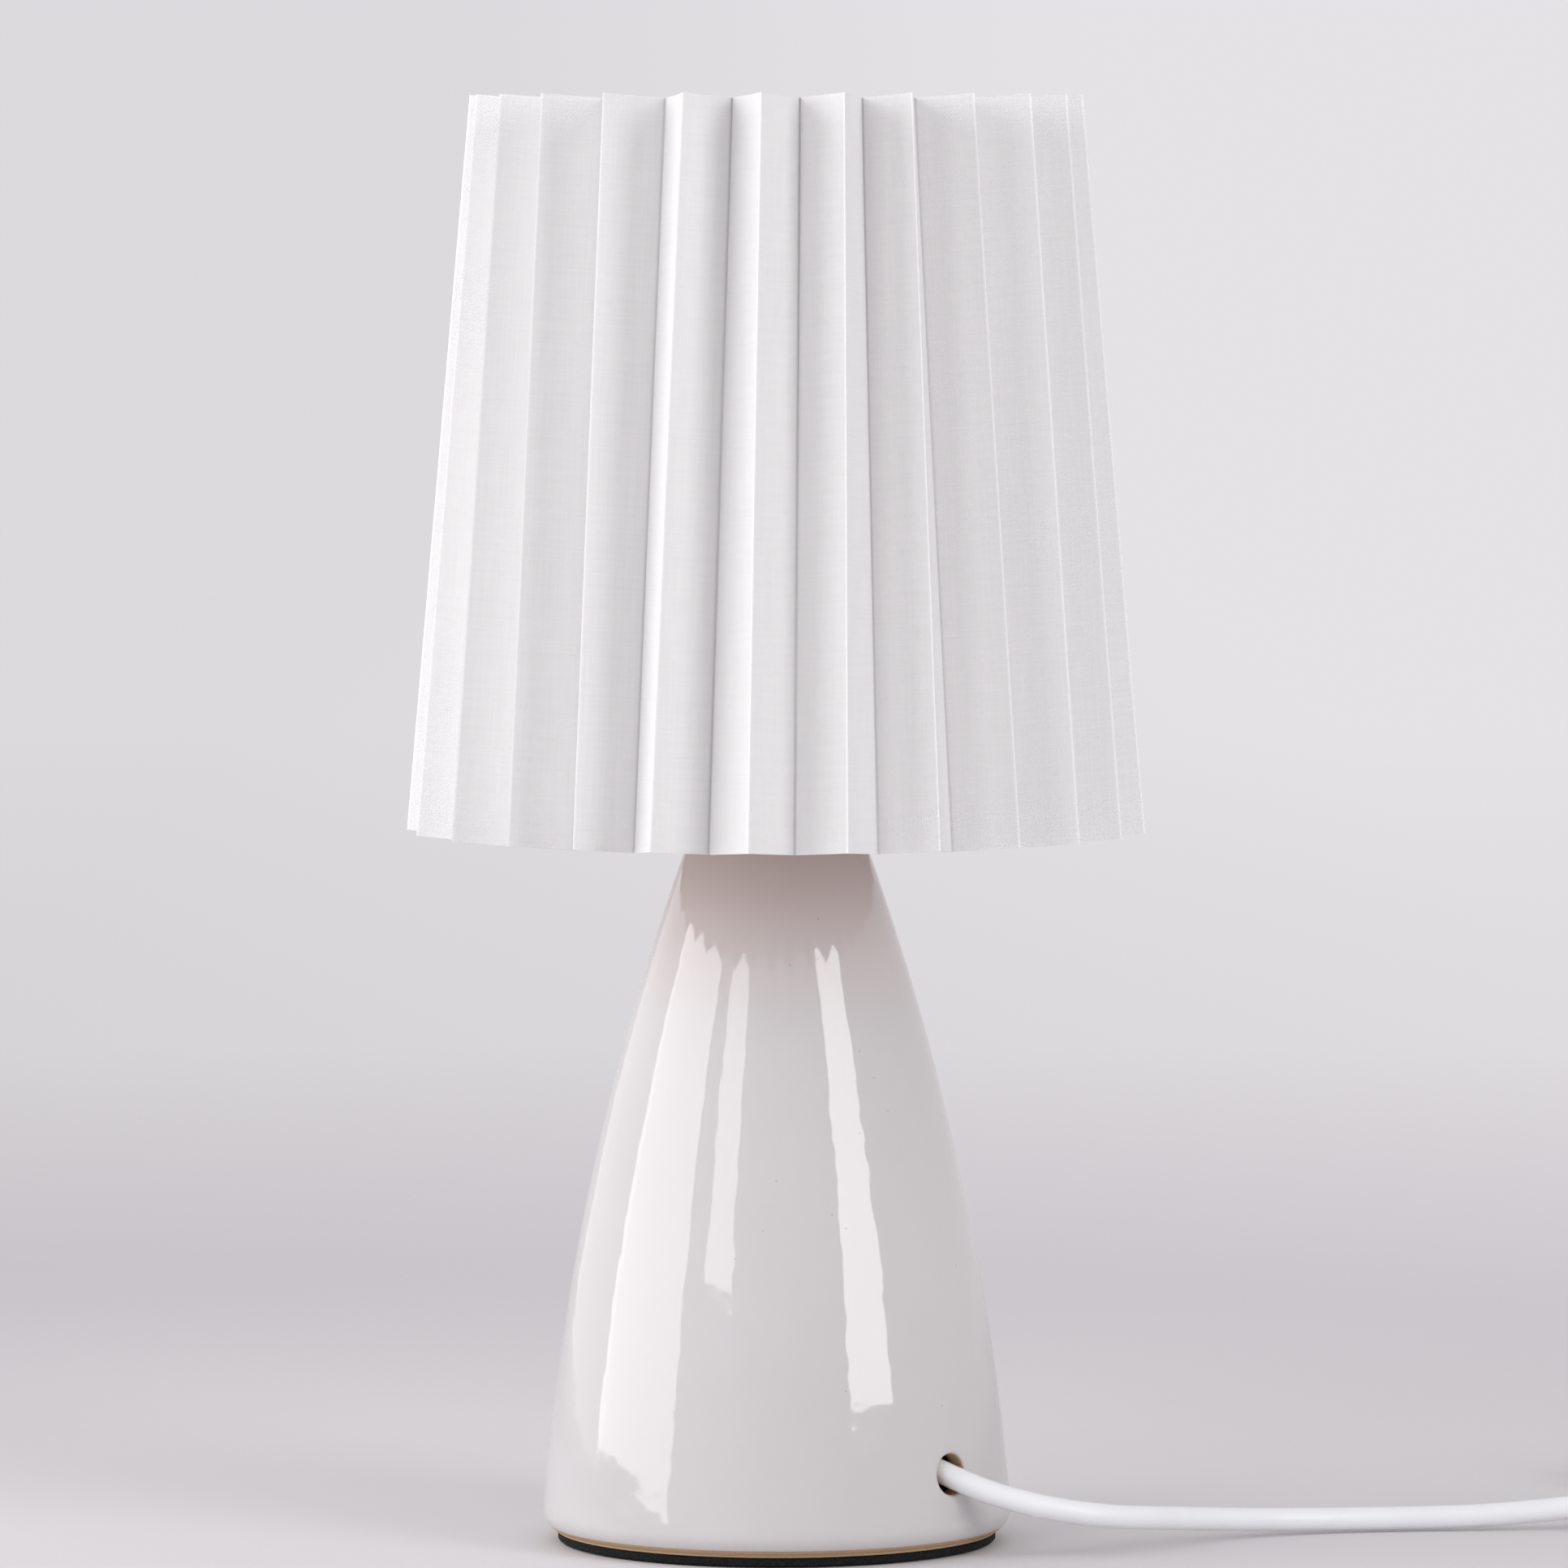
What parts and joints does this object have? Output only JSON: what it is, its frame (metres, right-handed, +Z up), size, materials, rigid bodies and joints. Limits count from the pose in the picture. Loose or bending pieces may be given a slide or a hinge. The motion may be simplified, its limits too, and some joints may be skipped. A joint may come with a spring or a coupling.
{
  "type": "pleated shade table lamp",
  "caption": "Small table lamp: a tall hollow glazed ceramic cone carries a pleated fabric drum shade over a screw-in bulb, with a white cord, inline rocker switch, tied coil and mains plug.",
  "frame": {"origin": "centre of the underside of the round foot pad, on the surface the lamp stands on", "axes": "+Z up along the lamp's axis; the front faces -Y; the cord leaves at the front right and runs towards +X"},
  "size_m": [0.4168, 0.1907, 0.32],
  "materials": {
    "glaze": "glossy off-white glaze with fine pinholes, bare tan clay at the foot ring and the cord hole",
    "foot_pad": "matt black foam",
    "shade_fabric": "finely woven cool-white fabric on a stiff backing, knife pleated",
    "white_wire": "white enamel",
    "holder_plastic": "moulded, fine satin",
    "contact_block_plastic": "moulded, matt",
    "brass_contact": "bright pressed brass",
    "plated_steel": "zinc plated",
    "cap_metal": "nickel-bright rolled",
    "black_plastic": "satin",
    "bulb_plastic": "satin",
    "bulb_diffuser": "frosted, slightly translucent",
    "board_white": "white solder mask",
    "cord_plastic": "flexible, satin cool white",
    "switch_plastic": "moulded, soft gloss",
    "plug_plastic": "moulded, satin",
    "pin_nickel": "nickel plated",
    "pin_sleeve_plastic": "satin",
    "tie_fabric": "soft hook-and-loop band"
  },
  "bodies": {
    "root": {"base_pad": "foot_pad", "ceramic_base": "glaze", "threaded_nipple": "plated_steel", "nipple_nut": "plated_steel", "lower_washer": "plated_steel", "upper_washer": "plated_steel", "lampholder_cap": "holder_plastic", "lampholder_sleeve": "holder_plastic", "contact_block": "contact_block_plastic", "terminal_screws": "plated_steel", "thread_contact": "brass_contact", "centre_contact": "brass_contact", "cord_inside": "cord_plastic", "cord_stop": "holder_plastic", "cord_run": "cord_plastic", "switch_lower_case": "switch_plastic", "switch_upper_case": "switch_plastic", "case_screws": "plated_steel", "switch_contacts": "brass_contact", "cord_link": "cord_plastic", "cord_coil": "cord_plastic", "coil_tie": "tie_fabric", "cord_tail": "cord_plastic", "plug_boot": "plug_plastic", "plug_body": "plug_plastic", "plug_pins": "pin_nickel", "pin_sleeves": "pin_sleeve_plastic"},
    "shade": {"pleated_shade": "shade_fabric", "shade_upper_ring": "white_wire", "shade_lower_ring": "white_wire", "shade_arms": "white_wire", "fitter_ring": "white_wire"},
    "collar": {"shade_collar": "holder_plastic"},
    "bulb_foot": {"bulb_tip": "brass_contact", "bulb_insulator": "black_plastic"},
    "bulb": {"bulb_screw_cap": "cap_metal", "bulb_housing": "bulb_plastic", "bulb_diffuser": "bulb_diffuser", "light_board": "board_white"},
    "rocker": {"switch_rocker": "switch_plastic"}
  },
  "joints": [
    {"name": "shade_lift", "type": "slide", "parent": "root", "child": "shade", "axis": [0, 0, 1], "range_m": [0, 0.14]},
    {"name": "collar_turn", "type": "hinge", "parent": "shade", "child": "collar", "pos_m": [0, 0, 0.187], "axis": [0, 0, 1], "range_deg": [0, 1080]},
    {"name": "bulb_rise", "type": "slide", "parent": "root", "child": "bulb_foot", "axis": [0, 0, 1], "range_m": [0, 0.01452]},
    {"name": "bulb_turn", "type": "hinge", "parent": "bulb_foot", "child": "bulb", "pos_m": [0, 0, 0.2], "axis": [0, 0, 1], "range_deg": [0, 1440]},
    {"name": "rocker_tip", "type": "hinge", "parent": "root", "child": "rocker", "pos_m": [0.22, 0.0142, 0.0114], "axis": [0, 1, 0], "range_deg": [0, 14]}
  ],
  "couplings": [
    {"joint": "bulb_rise", "follows": "bulb_turn", "m_per_rad": 0.00057757}
  ]
}
